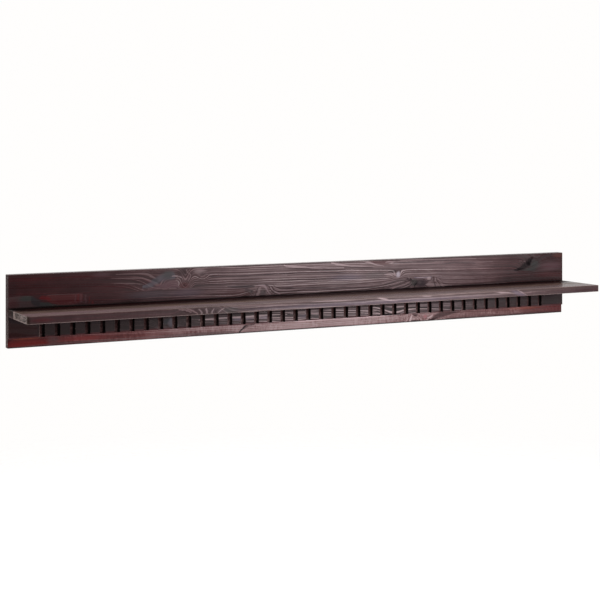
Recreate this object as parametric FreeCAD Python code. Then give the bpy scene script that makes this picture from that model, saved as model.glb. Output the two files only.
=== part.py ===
import FreeCAD, Part

# Wall shelf of dark stained pine. Its back panel is glued up from staves, a milled dentil rail and
# a recessed base strip. The shelf board, also glued from staves, butts against the panel's face on
# dowels and is screwed to it from behind. Two keyhole plates are let into the panel's back.
#
# X runs along the shelf, Y points to the wall and Z up. The origin lies on the wall face, midway
# between the round holes of the two keyhole plates. Lengths are in millimetres.
import math
import os

# Back panel
length = 1780.0
panel_thickness = 25.0
panel_upper_height = 88.5
upper_stave_height = 56.0
panel_round_radius = 1.5

# Shelf board
shelf_depth = 175.0
shelf_thickness = 20.0
rear_stave_depth = 50.0
middle_stave_depth = 62.5
shelf_round_radius = 2.0

# Dentil rail: upright slots between two plain end blocks
rail_height = 56.5
end_block_length = 82.5
slot_count = 40
slot_width = 14.0
slot_depth = 9.0
slot_arris_width = 0.8

# Base strip
strip_height = 25.0
strip_recess = 5.0

# Tongues on the lower stave and the base strip, in grooves of the rail
tongue_back_margin = 6.0
tongue_thickness = 7.0
tongue_length = 6.0
tongue_side_gap = 0.1
tongue_end_gap = 0.5
tongue_chamfer = 0.6

# Screws from behind into the shelf's rear edge
shelf_screw_count = 5
shelf_screw_end_length = 90.0
shelf_screw_length = 60.0
shelf_screw_radius = 2.25
shelf_screw_head_radius = 4.4
shelf_screw_sink_depth = 0.4

# Dowels between those screws, and one beyond each end screw
dowel_radius = 4.0
dowel_length = 40.0
dowel_panel_depth = 15.0
dowel_chamfer = 1.0
dowel_end_length = 42.0
dowel_end_gap = 1.0

# Keyhole plates and their screws
hanger_spacing = 1200.0
plate_length = 46.0
plate_width = 16.0
plate_thickness = 2.0
plate_round_radius = 0.4
plate_side_gap = 0.3
keyhole_entry_radius = 4.5
keyhole_slot_radius = 2.25
keyhole_slot_height = 10.5
head_pocket_depth = 8.0
head_pocket_margin = 1.5
plate_screw_length = 16.0
plate_screw_radius = 1.5
plate_screw_head_radius = 3.0
plate_screw_sink_depth = 0.1

# Every wood screw
screw_side_gap = 0.05
screw_rim_share = 0.15
screw_tip_share = 2.4
recess_arm_share = 0.55
recess_width_share = 0.22
recess_depth_share = 0.75

# Modelling values: how far a cutter runs past a face, and how near counts as on a coordinate
overrun = 1.0
tolerance = 0.001

# Places worked out from the sizes above
half_length = length / 2
wall_face = 0.0
panel_front = -panel_thickness
plate_end_radius = plate_width / 2
plate_middle = keyhole_slot_height / 2
plate_reach = plate_length / 2 - plate_end_radius
panel_top = upper_stave_height / 2 + plate_middle
stave_joint = panel_top - upper_stave_height
shelf_top = panel_top - panel_upper_height
shelf_low = shelf_top - shelf_thickness
shelf_middle = (shelf_top + shelf_low) / 2
rail_low = shelf_low - rail_height
panel_low = rail_low - strip_height
shelf_front = panel_front - shelf_depth
rear_stave_front = panel_front - rear_stave_depth
middle_stave_front = rear_stave_front - middle_stave_depth
strip_front = panel_front + strip_recess
tongue_back = -tongue_back_margin
tongue_front = tongue_back - tongue_thickness
slot_run = length - 2 * end_block_length
slot_pitch = (slot_run - slot_width) / (slot_count - 1)


def block(low, high):
    """A box from its lowest to its highest corner."""
    size = [b - a for a, b in zip(low, high)]
    return Part.makeBox(*size, FreeCAD.Vector(*low))


def plank(front, back, low, high):
    """A board that runs the whole length."""
    return block((-half_length, front, low), (half_length, back, high))


def edges_at(shape, **place):
    """The edges of a shape that lie wholly at the given coordinates."""
    found = []
    for edge in shape.Edges:
        box = edge.BoundBox
        spans = {"x": (box.XMin, box.XMax), "y": (box.YMin, box.YMax), "z": (box.ZMin, box.ZMax)}
        if all(abs(end - at) < tolerance for axis, at in place.items() for end in spans[axis]):
            found.append(edge)
    return found


def end_edges(shape, **place):
    """The edges at both ends of a plank that also lie at the given coordinate."""
    return edges_at(shape, x=-half_length, **place) + edges_at(shape, x=half_length, **place)


def turned(profile):
    """A solid of revolution about Y from (radius, depth) pairs, with depth running to -Y."""
    points = [FreeCAD.Vector(radius, -depth, 0) for radius, depth in profile]
    face = Part.Face(Part.makePolygon(points + points[:1]))
    return face.revolve(FreeCAD.Vector(0, 0, 0), FreeCAD.Vector(0, 1, 0), math.degrees(2 * math.pi))


def placed(shape, x, y, z):
    """A moved copy of a shape."""
    copy = shape.copy()
    copy.translate(FreeCAD.Vector(x, y, z))
    return copy


def stadium(radius, low, high, front, back):
    """An upright slot shape between two centre heights, from a front to a back plane."""
    side = FreeCAD.Vector(radius, 0, 0)
    rise = FreeCAD.Vector(0, 0, radius)
    bottom = FreeCAD.Vector(0, front, low)
    top = FreeCAD.Vector(0, front, high)
    edges = [
        Part.Arc(top + side, top + rise, top - side).toShape(),
        Part.LineSegment(top - side, bottom - side).toShape(),
        Part.Arc(bottom - side, bottom - rise, bottom + side).toShape(),
        Part.LineSegment(bottom + side, top + side).toShape(),
    ]
    return Part.Face(Part.Wire(edges)).extrude(FreeCAD.Vector(0, back - front, 0))


def wood_screw(head_radius, radius, screw_length):
    """A countersunk wood screw with a cross recess, its head on the plane Y = 0."""
    rim = head_radius * screw_rim_share
    head_depth = rim + head_radius - radius
    tip = radius * screw_tip_share
    body = turned([
        (0, 0),
        (head_radius, 0),
        (head_radius, rim),
        (radius, head_depth),
        (radius, screw_length - tip),
        (0, screw_length),
    ])
    arm = head_radius * recess_arm_share
    half_width = head_radius * recess_width_share / 2
    floor = -head_depth * recess_depth_share
    across = block((-arm, floor, -half_width), (arm, overrun, half_width))
    upright = block((-half_width, floor, -arm), (half_width, overrun, arm))
    return body.cut(across.fuse(upright))


def screw_hole(head_radius, radius, screw_length, sink):
    """The hole that a wood screw fills, with its head below the plane Y = 0 by sink."""
    rim = head_radius * screw_rim_share
    head_depth = rim + head_radius - radius
    return turned([
        (0, -overrun),
        (head_radius + screw_side_gap, -overrun),
        (head_radius + screw_side_gap, sink + rim),
        (radius + screw_side_gap, sink + head_depth),
        (radius + screw_side_gap, sink + screw_length + screw_side_gap),
        (0, sink + screw_length + screw_side_gap),
    ])


def shelf_screw_places():
    """X of each screw into the shelf, evenly spaced between the two end ones."""
    first = -half_length + shelf_screw_end_length
    step = (length - 2 * shelf_screw_end_length) / (shelf_screw_count - 1)
    return [first + step * number for number in range(shelf_screw_count)]


def dowel_places():
    """X of each dowel: midway between two screws, and one near each end of the shelf."""
    screws = shelf_screw_places()
    between = [(a + b) / 2 for a, b in zip(screws, screws[1:])]
    end = half_length - dowel_end_length
    return [-end] + between + [end]


def hanger_places():
    """X of the two keyhole plates."""
    return [-hanger_spacing / 2, hanger_spacing / 2]


def plate_screw_heights():
    """Z of the two screws in a keyhole plate, at the centres of its round ends."""
    return [plate_middle - plate_reach, plate_middle + plate_reach]


def shelf_screw_holes():
    """Cutters for the screws from the wall face into the shelf."""
    hole = screw_hole(
        shelf_screw_head_radius,
        shelf_screw_radius,
        shelf_screw_length,
        shelf_screw_sink_depth,
    )
    return [placed(hole, x, wall_face, shelf_middle) for x in shelf_screw_places()]


def dowel_holes():
    """Cutters for the dowels, deeper than the dowels at both ends."""
    radius = dowel_radius + screw_side_gap
    depth = dowel_length + 2 * dowel_end_gap
    start = FreeCAD.Vector(0, panel_front + dowel_panel_depth + dowel_end_gap, shelf_middle)
    hole = Part.makeCylinder(radius, depth, start, FreeCAD.Vector(0, -1, 0))
    return [placed(hole, x, 0, 0) for x in dowel_places()]


def plate_screw_holes():
    """Cutters for the two screws of a keyhole plate that stands at X = 0."""
    hole = screw_hole(
        plate_screw_head_radius,
        plate_screw_radius,
        plate_screw_length,
        plate_screw_sink_depth,
    )
    return [placed(hole, 0, wall_face, z) for z in plate_screw_heights()]


def hanger_cutters():
    """Cutters in the panel's back: the plates' seats, pockets for the wall screws, and screw holes."""
    seat_radius = plate_end_radius + plate_side_gap
    seat = stadium(seat_radius, *plate_screw_heights(), wall_face - plate_thickness, wall_face + overrun)
    pocket_radius = keyhole_entry_radius + head_pocket_margin
    pocket = stadium(pocket_radius, 0, keyhole_slot_height, wall_face - head_pocket_depth, wall_face)
    tools = [seat, pocket] + plate_screw_holes()
    return [placed(tool, x, 0, 0) for x in hanger_places() for tool in tools]


def tongue(root, tip):
    """A full-length tongue between two heights, with its long edges chamfered at the tip."""
    strip = plank(tongue_front, tongue_back, min(root, tip), max(root, tip))
    edges = edges_at(strip, y=tongue_front, z=tip) + edges_at(strip, y=tongue_back, z=tip)
    return strip.makeChamfer(tongue_chamfer, edges)


def tongue_groove(low, high):
    """The groove for a tongue, wider than it by the side gap."""
    ends = half_length + overrun
    return block(
        (-ends, tongue_front - tongue_side_gap, low),
        (ends, tongue_back + tongue_side_gap, high),
    )


def back_upper_stave():
    stave = plank(panel_front, wall_face, stave_joint, panel_top)
    rounded = edges_at(stave, y=panel_front, z=panel_top)
    rounded += end_edges(stave, y=panel_front) + end_edges(stave, z=panel_top)
    return stave.makeFillet(panel_round_radius, rounded).cut(hanger_cutters())


def back_lower_stave():
    stave = plank(panel_front, wall_face, shelf_low, stave_joint)
    stave = stave.makeFillet(panel_round_radius, end_edges(stave, y=panel_front))
    stave = stave.fuse(tongue(shelf_low, shelf_low - tongue_length)).removeSplitter()
    return stave.cut(shelf_screw_holes() + dowel_holes())


def slot_cutter():
    """One slot of the dentil rail, its mouth flared by the arris on each side."""
    half = slot_width / 2
    mouth = half + slot_arris_width + overrun
    floor = panel_front + slot_depth
    shoulder = panel_front + slot_arris_width
    outline = [
        (half, floor),
        (half, shoulder),
        (mouth, panel_front - overrun),
        (-mouth, panel_front - overrun),
        (-half, shoulder),
        (-half, floor),
    ]
    start = rail_low - overrun
    points = [FreeCAD.Vector(x, y, start) for x, y in outline]
    face = Part.Face(Part.makePolygon(points + points[:1]))
    return face.extrude(FreeCAD.Vector(0, 0, rail_height + 2 * overrun))


def dentil_rail():
    rail = plank(panel_front, wall_face, rail_low, shelf_low)
    rounded = edges_at(rail, y=panel_front, z=rail_low)
    rounded += end_edges(rail, y=panel_front)
    rail = rail.makeFillet(panel_round_radius, rounded)
    groove_depth = tongue_length + tongue_end_gap
    grooves = [
        tongue_groove(shelf_low - groove_depth, shelf_low + overrun),
        tongue_groove(rail_low - overrun, rail_low + groove_depth),
    ]
    first = -half_length + end_block_length + slot_width / 2
    cutter = slot_cutter()
    slots = [placed(cutter, first + slot_pitch * number, 0, 0) for number in range(slot_count)]
    return rail.cut(grooves + slots)


def base_strip():
    strip = plank(strip_front, wall_face, panel_low, rail_low)
    rounded = edges_at(strip, y=strip_front, z=panel_low)
    rounded += end_edges(strip, y=strip_front) + end_edges(strip, z=panel_low)
    strip = strip.makeFillet(panel_round_radius, rounded)
    return strip.fuse(tongue(rail_low, rail_low + tongue_length)).removeSplitter()


def shelf_stave(front, back):
    """A stave of the shelf board, with its ends' upper and lower edges rounded."""
    stave = plank(front, back, shelf_low, shelf_top)
    rounded = end_edges(stave, z=shelf_top) + end_edges(stave, z=shelf_low)
    if front == shelf_front:
        rounded += edges_at(stave, y=front, z=shelf_top) + edges_at(stave, y=front, z=shelf_low)
        rounded += end_edges(stave, y=front)
    return stave.makeFillet(shelf_round_radius, rounded)


def shelf_rear_stave():
    return shelf_stave(rear_stave_front, panel_front).cut(shelf_screw_holes() + dowel_holes())


def shelf_middle_stave():
    return shelf_stave(middle_stave_front, rear_stave_front)


def shelf_front_stave():
    return shelf_stave(shelf_front, middle_stave_front)


def shelf_dowels():
    dowel = turned([
        (0, 0),
        (dowel_radius - dowel_chamfer, 0),
        (dowel_radius, dowel_chamfer),
        (dowel_radius, dowel_length - dowel_chamfer),
        (dowel_radius - dowel_chamfer, dowel_length),
        (0, dowel_length),
    ])
    start = panel_front + dowel_panel_depth
    return Part.makeCompound([placed(dowel, x, start, shelf_middle) for x in dowel_places()])


def shelf_screws():
    screw = wood_screw(shelf_screw_head_radius, shelf_screw_radius, shelf_screw_length)
    start = wall_face - shelf_screw_sink_depth
    return Part.makeCompound([placed(screw, x, start, shelf_middle) for x in shelf_screw_places()])


def hanger_plate(x):
    """A keyhole plate, flush with the wall face, with its slot above its round hole."""
    front = wall_face - plate_thickness
    plate = stadium(plate_end_radius, *plate_screw_heights(), front, wall_face)
    plate = plate.makeFillet(plate_round_radius, edges_at(plate, y=wall_face))
    slot = stadium(keyhole_slot_radius, 0, keyhole_slot_height, front - overrun, wall_face + overrun)
    round_hole = Part.makeCylinder(
        keyhole_entry_radius,
        plate_thickness + 2 * overrun,
        FreeCAD.Vector(0, front - overrun, 0),
        FreeCAD.Vector(0, 1, 0),
    )
    return placed(plate.cut([slot.fuse(round_hole)] + plate_screw_holes()), x, 0, 0)


def left_hanger_plate():
    return hanger_plate(hanger_places()[0])


def right_hanger_plate():
    return hanger_plate(hanger_places()[1])


def hanger_screws():
    screw = wood_screw(plate_screw_head_radius, plate_screw_radius, plate_screw_length)
    start = wall_face - plate_screw_sink_depth
    return Part.makeCompound([
        placed(screw, x, start, z) for x in hanger_places() for z in plate_screw_heights()
    ])


pieces = [
    back_upper_stave,
    back_lower_stave,
    dentil_rail,
    base_strip,
    shelf_rear_stave,
    shelf_middle_stave,
    shelf_front_stave,
    shelf_dowels,
    shelf_screws,
    left_hanger_plate,
    right_hanger_plate,
    hanger_screws,
]

os.makedirs("parts", exist_ok=True)
for piece in pieces:
    shape = piece()
    print(piece.__name__, len(shape.Solids), "solids, valid", shape.isValid(), round(shape.Volume))
    shape.exportStep(f"parts/{piece.__name__}.step")
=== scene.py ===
# The wall shelf's looks: stained and brushed pine on every stave, bare beech dowels and zinc-plated
# steel. Lengths are in metres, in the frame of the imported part: X along the shelf, Y to the wall, Z up.
import math
from dataclasses import dataclass

import bpy
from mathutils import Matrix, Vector


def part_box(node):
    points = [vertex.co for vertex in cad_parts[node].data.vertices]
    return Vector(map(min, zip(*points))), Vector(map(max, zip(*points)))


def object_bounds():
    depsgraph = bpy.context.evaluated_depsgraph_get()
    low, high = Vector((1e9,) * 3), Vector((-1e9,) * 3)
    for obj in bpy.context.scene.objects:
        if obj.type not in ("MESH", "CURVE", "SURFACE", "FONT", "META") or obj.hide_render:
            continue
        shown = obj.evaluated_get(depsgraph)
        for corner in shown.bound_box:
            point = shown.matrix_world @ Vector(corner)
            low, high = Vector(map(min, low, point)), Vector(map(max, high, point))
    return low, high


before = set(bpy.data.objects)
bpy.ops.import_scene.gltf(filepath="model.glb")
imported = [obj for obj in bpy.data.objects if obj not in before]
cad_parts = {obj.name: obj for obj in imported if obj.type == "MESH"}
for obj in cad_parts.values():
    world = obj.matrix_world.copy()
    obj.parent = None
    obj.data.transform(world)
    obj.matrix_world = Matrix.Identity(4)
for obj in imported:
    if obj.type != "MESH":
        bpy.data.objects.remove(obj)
cad_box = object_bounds()

MM = 0.001

# Lines that the pieces share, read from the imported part
PANEL_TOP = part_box("back_upper_stave")[1].z
PANEL_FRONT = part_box("back_upper_stave")[0].y
LEFT_END = cad_box[0].x

# The camera, as the photograph was taken: level, turned towards +X, with the horizon above the middle
IMAGE_WIDTH = 600
HORIZON_ROW = 157.645
FOCAL_PIXELS = 1333.4
SENSOR_WIDTH = 36.0
CAMERA_TURN = math.radians(27.194)
CAMERA_X = -1.7878
CAMERA_Y = -3.4118
CAMERA_ABOVE_PANEL = 0.3014
CLIP = (0.05, 60.0)

# Light: a soft top light from a little behind the shelf, and a tall softbox to the right of the camera,
# which the satin stain reflects in the middle of the shelf. The studio is pale behind and dim in front.
SOFTBOX_PLACE = Vector((1.92, -3.3, 0.15))
SOFTBOX_TARGET = Vector((0.15, 0.0, -0.05))
SOFTBOX_WIDTH = 1.5
SOFTBOX_HEIGHT = 1.6
SOFTBOX_RADIANCE = 21.0
SOFTBOX_COLOUR = (1.0, 0.93, 0.94)
SUN_PLACE = Vector((0.0, 1.5, 2.0))
SUN_WAY = Vector((0.15, -0.62, -0.79))
SUN_SPREAD = math.radians(14)
SUN_STRENGTH = 2.3
STUDIO_COLOUR = (1.0, 0.99, 0.98, 1.0)
STUDIO_TURN = 0.35
DIM_FRONT = 0.14

FLOOR_Z = -1.2
FLOOR_HALF = 4.0
FLOOR_FADE = (2.0, 3.8)
FLOOR_PAINT = (0.88, 0.88, 0.87, 1.0)


def rgb(red, green, blue):
    """A colour written as 8-bit screen values, as a shader's colour."""
    levels = [value / 255 for value in (red, green, blue)]
    return tuple(v / 12.92 if v <= 0.04045 else ((v + 0.055) / 1.055) ** 2.4 for v in levels) + (1.0,)


# The stain's colours: deep in the soft wood, its body, and thin on the hard ridges and worn arrises, and the
# near-black of the painted shade in the slots
DEEP = rgb(24, 10, 12)
BODY = rgb(54, 30, 33)
THIN = rgb(101, 80, 82)
RAISED = rgb(131, 114, 115)
BARE = rgb(150, 130, 126)
END_GRAIN = rgb(54, 34, 32)
SLOT_SHADE_BLACK = rgb(10, 6, 7)
REDDER = (1.12, 0.68, 0.68, 1.0)
SHELF_WORN = rgb(150, 132, 126)
SHELF_END_GRAIN = rgb(90, 79, 73)

# The colours of single marks in the wood, and the near-black red of the painted shade where the shelf meets
# the panel
PALE = rgb(150, 132, 134)
FAIR = rgb(112, 92, 94)
VIOLET = rgb(88, 78, 92)
ROSE = rgb(86, 62, 68)
UMBER = rgb(38, 20, 22)
DUSK = rgb(34, 25, 29)
INK = rgb(12, 8, 10)
DARK_SEAM_AND_SHADE = rgb(14, 2, 2)
SLATE = rgb(30, 31, 35)
BLUE_GREY = rgb(78, 75, 83)
GREEN_GREY = rgb(46, 50, 48)
GREY = rgb(66, 56, 57)
BLOOD = rgb(92, 10, 15)
MAROON = rgb(66, 22, 26)
RUST = rgb(110, 52, 30)
MOSS = rgb(36, 41, 40)
MAUVE = rgb(128, 108, 112)

# How fine each pattern in the wood is, in waves per metre along X, Y and Z
BOW = (2.2, 5.0, 6.0)
WOBBLE = (11.0, 24.0, 40.0)
BLOTCHES = (14.0, 40.0, 45.0)
PORES = (120.0, 260.0, 260.0)
MILL_MARKS = (150.0, 8.0, 60.0)
MILL_PATCHES = (9.0, 1.0, 16.0)
SLOT_CHIPS = (60.0, 1.0, 90.0)
SLOT_FLOORS = (260.0, 10.0, 120.0)

# Waves per metre of the fibres and the brushing, across the grain and along it
FIBRES = (300.0, 4.0)
BRUSHING = (1300.0, 14.0)

# Waves per year's ring of how rings differ: in width, in how clear they are, and in broad bands
RING_WIDTHS = 0.41
RING_CLARITY = 0.63
RING_BANDS = 0.17

# A ring's ridge over one year, with its mean, and how far the rings bow and wobble
RIDGE = [(0.0, 0.0), (0.14, 0.3), (0.5, 0.38), (0.74, 1.0), (0.9, 0.85), (1.0, 0.0)]
RIDGE_MEAN = 0.42
BOW_DEPTH = 16 * MM
WOBBLE_DEPTH = 4.0 * MM

# The stain: the tone of its body, how strongly it shines, and its least roughness
BODY_TONE = 0.42
SHEEN_LEVEL = 0.1
LEAST_ROUGHNESS = 0.16

# How deep the bump goes, how wide the arrises are worn, how far marks stray, and where they fade out
PINE_RELIEF = 0.3 * MM
BEECH_RELIEF = 0.15 * MM
ZINC_RELIEF = 0.04 * MM
WEAR_WIDTH = 2.2 * MM
STRAY_ALONG = 22 * MM
STRAY_ACROSS = 7 * MM
MARKS_FADE = (-10 * MM, -16 * MM)

# A mark is never thinner than this, and counts as this many widths away past its ends
LEAST_WIDTH = 0.05 * MM
PAST_THE_ENDS = 9.0

# The dentil rail's slots: the milled depth and width, the plain block at each end, and the spacing
SLOT_COUNT = 40
SLOT_DEPTH = 9 * MM
SLOT_WIDTH = 14 * MM
END_BLOCK = 82.5 * MM
FIRST_SLOT = LEFT_END + END_BLOCK
SLOT_PITCH = (-2 * FIRST_SLOT - SLOT_WIDTH) / (SLOT_COUNT - 1)
SLOT_SHARE = SLOT_WIDTH / SLOT_PITCH

# Along X, how much of a slot's floor is painted lit before painted shade begins, and how much lighter the
# floor is painted; the floors' colours run from painted-shade black to lit red-brown
SLOT_LIT = [(-0.8, 0.72), (-0.35, 0.96), (0.2, 0.94), (0.8, 0.76)]
SLOT_LIGHTER = [(-0.81, 0.04), (-0.76, -0.12), (-0.4, 0.12), (0.3, 0.14), (0.8, 0.0)]
SLOT_COLOURS = [
    (0.2, SLOT_SHADE_BLACK),
    (0.5, rgb(35, 15, 15)),
    (0.75, rgb(54, 35, 34)),
    (1.0, rgb(88, 70, 69)),
]

# Y of the panel's face and of the shelf's front edge, in millimetres as the marks have them
FRONT = -25.0
SHELF_EDGE = -200.0


class Nodes:
    """A material's node tree, with short calls that add a node and give its output."""

    def __init__(self, name):
        self.material = bpy.data.materials.new(name)
        self.material.use_nodes = True
        self.tree = self.material.node_tree
        self.tree.nodes.clear()

    def add(self, kind, inputs=(), **settings):
        node = self.tree.nodes.new("ShaderNode" + kind)
        for key, value in settings.items():
            setattr(node, key, value)
        for key, value in dict(inputs).items():
            self.put(node.inputs[key], value)
        return node

    def put(self, socket, value):
        if isinstance(value, bpy.types.NodeSocket):
            self.tree.links.new(value, socket)
        else:
            socket.default_value = value

    def place(self):
        """The point on the surface in the part's frame, because each node's object is at the origin."""
        return self.add("TexCoord").outputs["Object"]

    def axes(self, vector):
        return self.add("SeparateXYZ", {0: vector}).outputs

    def vector(self, x, y, z):
        return self.add("CombineXYZ", {0: x, 1: y, 2: z}).outputs[0]

    def calc(self, operation, *values):
        return self.add("Math", enumerate(values), operation=operation).outputs[0]

    def total(self, *values):
        result = values[0]
        for value in values[1:]:
            result = self.calc("ADD", result, value)
        return result

    def times(self, *values):
        result = values[0]
        for value in values[1:]:
            result = self.calc("MULTIPLY", result, value)
        return result

    def swing(self, value, middle, gain):
        """How far a value is from its middle, times a gain."""
        return self.calc("MULTIPLY_ADD", value, gain, -middle * gain)

    def on_vectors(self, operation, *vectors):
        return self.add("VectorMath", enumerate(vectors), operation=operation).outputs[0]

    def scaled(self, vector, factors):
        return self.on_vectors("MULTIPLY", vector, factors)

    def length(self, vector):
        return self.add("VectorMath", {0: vector}, operation="LENGTH").outputs["Value"]

    def seen_from(self, vector, middle, reach, turn):
        """The same point seen from a middle, turned with it, where 1 is as far as it reaches."""
        inputs = {"Vector": vector, "Location": middle, "Rotation": turn, "Scale": reach}
        return self.add("Mapping", inputs, vector_type="TEXTURE").outputs[0]

    def noise(self, vector, detail=2.0, roughness=0.5):
        inputs = {"Vector": vector, "Scale": 1.0, "Detail": detail, "Roughness": roughness}
        return self.add("TexNoise", inputs).outputs[0]

    def noise_along(self, value, scale, detail=0.0):
        inputs = {"W": value, "Scale": scale, "Detail": detail}
        return self.add("TexNoise", inputs, noise_dimensions="1D").outputs[0]

    def step(self, value, low, high, out_low=0.0, out_high=1.0):
        inputs = {0: value, 1: low, 2: high, 3: out_low, 4: out_high}
        return self.add("MapRange", inputs, interpolation_type="SMOOTHSTEP").outputs[0]

    def ramp(self, value, stops):
        node = self.add("ValToRGB", {0: value})
        elements = node.color_ramp.elements
        while len(elements) < len(stops):
            elements.new(0.5)
        for element, (position, colour) in zip(elements, stops):
            element.position = position
            element.color = colour
        return node.outputs[0]

    def curve(self, value, points):
        """A smooth curve through points, as a number."""
        places = [place for place, level in points]
        levels = [level for place, level in points]
        low = min(levels)
        span = max(max(levels) - low, 1e-6)
        first = places[0]
        reach = places[-1] - first
        share = self.add("MapRange", {0: value, 1: first, 2: places[-1]}).outputs[0]
        node = self.add("FloatCurve", {1: share})
        line = node.mapping.curves[0]
        while len(line.points) < len(points):
            line.points.new(0.5, 0.5)
        ordered = [((place - first) / reach, (level - low) / span) for place, level in points]
        for point, location in zip(line.points, ordered):
            point.location = location
            point.handle_type = "AUTO_CLAMPED"
        node.mapping.update()
        return self.calc("MULTIPLY_ADD", node.outputs[0], span, low)

    def blend(self, factor, first, second, mode="MIX"):
        node = self.add("Mix", {0: factor, 6: first, 7: second}, data_type="RGBA", blend_type=mode)
        return node.outputs[2]

    def output(self, shader):
        out = self.add("OutputMaterial")
        self.tree.links.new(shader.outputs[0], out.inputs[0])
        return self.material

    def finish(self, colour, roughness, bump_height, bump_depth, **constants):
        """Joins the colour, roughness and bump to one shader, with its constants on its own sockets."""
        inputs = {"Height": bump_height, "Distance": bump_depth, "Strength": 1.0}
        bump = self.add("Bump", inputs).outputs[0]
        shader = self.add("BsdfPrincipled", {"Base Color": colour, "Roughness": roughness, "Normal": bump})
        for socket, value in constants.items():
            shader.inputs[socket].default_value = value
        return self.output(shader)


def link(name, data):
    """A new object in the scene."""
    thing = bpy.data.objects.new(name, data)
    bpy.context.collection.objects.link(thing)
    return thing


def place_camera():
    data = bpy.data.cameras.new("camera")
    data.sensor_fit = "HORIZONTAL"
    data.sensor_width = SENSOR_WIDTH
    data.lens = SENSOR_WIDTH * FOCAL_PIXELS / IMAGE_WIDTH
    data.shift_y = -(IMAGE_WIDTH / 2 - HORIZON_ROW) / IMAGE_WIDTH
    data.clip_start, data.clip_end = CLIP
    camera = link("camera", data)
    camera.location = (CAMERA_X, CAMERA_Y, PANEL_TOP + CAMERA_ABOVE_PANEL)
    camera.rotation_euler = (math.pi / 2, 0.0, -CAMERA_TURN)
    bpy.context.scene.camera = camera


def add_lamp(name, data, place, way):
    lamp = link(name, data)
    lamp.location = place
    lamp.rotation_euler = way.to_track_quat("-Z", "Y").to_euler()


def add_softbox():
    data = bpy.data.lights.new("side_softbox", "AREA")
    data.shape = "RECTANGLE"
    data.size = SOFTBOX_WIDTH
    data.size_y = SOFTBOX_HEIGHT
    data.energy = SOFTBOX_RADIANCE * SOFTBOX_WIDTH * SOFTBOX_HEIGHT * math.pi
    data.color = SOFTBOX_COLOUR
    add_lamp("side_softbox", data, SOFTBOX_PLACE, SOFTBOX_TARGET - SOFTBOX_PLACE)


def add_top_light():
    data = bpy.data.lights.new("top_light", "SUN")
    data.energy = SUN_STRENGTH
    data.angle = SUN_SPREAD
    add_lamp("top_light", data, SUN_PLACE, SUN_WAY)


def add_world():
    """The studio, pale towards the wall and dim behind the camera."""
    world = bpy.data.worlds.new("studio")
    world.use_nodes = True
    tree = world.node_tree
    where = tree.nodes.new("ShaderNodeTexCoord")
    axes = tree.nodes.new("ShaderNodeSeparateXYZ")
    strength = tree.nodes.new("ShaderNodeMapRange")
    strength.interpolation_type = "SMOOTHSTEP"
    limits = {"From Min": -STUDIO_TURN, "From Max": STUDIO_TURN, "To Min": DIM_FRONT, "To Max": 1.0}
    for key, value in limits.items():
        strength.inputs[key].default_value = value
    background = tree.nodes["Background"]
    background.inputs["Color"].default_value = STUDIO_COLOUR
    tree.links.new(where.outputs["Generated"], axes.inputs[0])
    tree.links.new(axes.outputs["Y"], strength.inputs["Value"])
    tree.links.new(strength.outputs["Result"], background.inputs["Strength"])
    bpy.context.scene.world = world


def floor_finish():
    """Matt pale paint on the floor's upper side, clear from below and where the floor fades out."""
    n = Nodes("floor")
    reach = n.length(n.scaled(n.place(), (1.0, 1.0, 0.0)))
    gone = n.step(reach, *FLOOR_FADE)
    below = n.add("NewGeometry").outputs["Backfacing"]
    paint = n.add("BsdfDiffuse", {"Color": FLOOR_PAINT}).outputs[0]
    clear = n.add("BsdfTransparent").outputs[0]
    return n.output(n.add("MixShader", {0: n.calc("MAXIMUM", gone, below), 1: paint, 2: clear}))


def add_floor():
    """A pale floor well below the shelf, which fades out into the studio."""
    mesh = bpy.data.meshes.new("floor")
    corners = [(x * FLOOR_HALF, y * FLOOR_HALF, FLOOR_Z) for x, y in ((-1, -1), (1, -1), (1, 1), (-1, 1))]
    mesh.from_pydata(corners, [], [(0, 1, 2, 3)])
    mesh.materials.append(floor_finish())
    link("floor", mesh)


class Spot:
    """An oval place on a board, in millimetres and degrees. It may reach further to the left."""

    def __init__(self, x, z, reach_x, reach_z, turn=0.0, y=FRONT, reach_y=60.0, left=None):
        self.middle = (x * MM, y * MM, z * MM)
        self.reach = (reach_x * MM, reach_y * MM, reach_z * MM)
        self.turn = (0.0, math.radians(turn), 0.0)
        self.left_ratio = reach_x / left if left else 1.0

    def distance(self, n, place):
        """How far a point is from the spot's middle, where 1 is as far as it reaches."""
        seen = n.seen_from(place, self.middle, self.reach, self.turn)
        if self.left_ratio != 1.0:
            x, y, z = n.axes(seen)
            seen = n.vector(n.calc("MAXIMUM", x, n.times(x, -self.left_ratio)), y, z)
        return n.length(seen)


class Knot(Spot):
    """A spot that shifts the growth rings around it by a number of rings."""

    def __init__(self, x, z, reach_x, reach_z, rings, **place):
        super().__init__(x, z, reach_x, reach_z, **place)
        self.rings = rings


class Tint(Spot):
    """An oval patch of another colour, which can fade out softly and be duller than the rest."""

    def __init__(self, x, z, reach_x, reach_z, paint, strength, soft=0.9, matte=0.0, **place):
        super().__init__(x, z, reach_x, reach_z, **place)
        self.paint = paint
        self.strength = strength
        self.soft = soft
        self.matte = matte


def edge_tint(*place_and_paint, reach_y=10, **how):
    """A tint on the shelf's front edge alone."""
    return Tint(*place_and_paint, y=SHELF_EDGE, reach_y=reach_y, **how)


def end_tint(z, reach_z, paint, strength, **how):
    """A tint on the shelf's left end."""
    return Tint(-890, z, 300, reach_z, paint, strength, **how)


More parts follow.
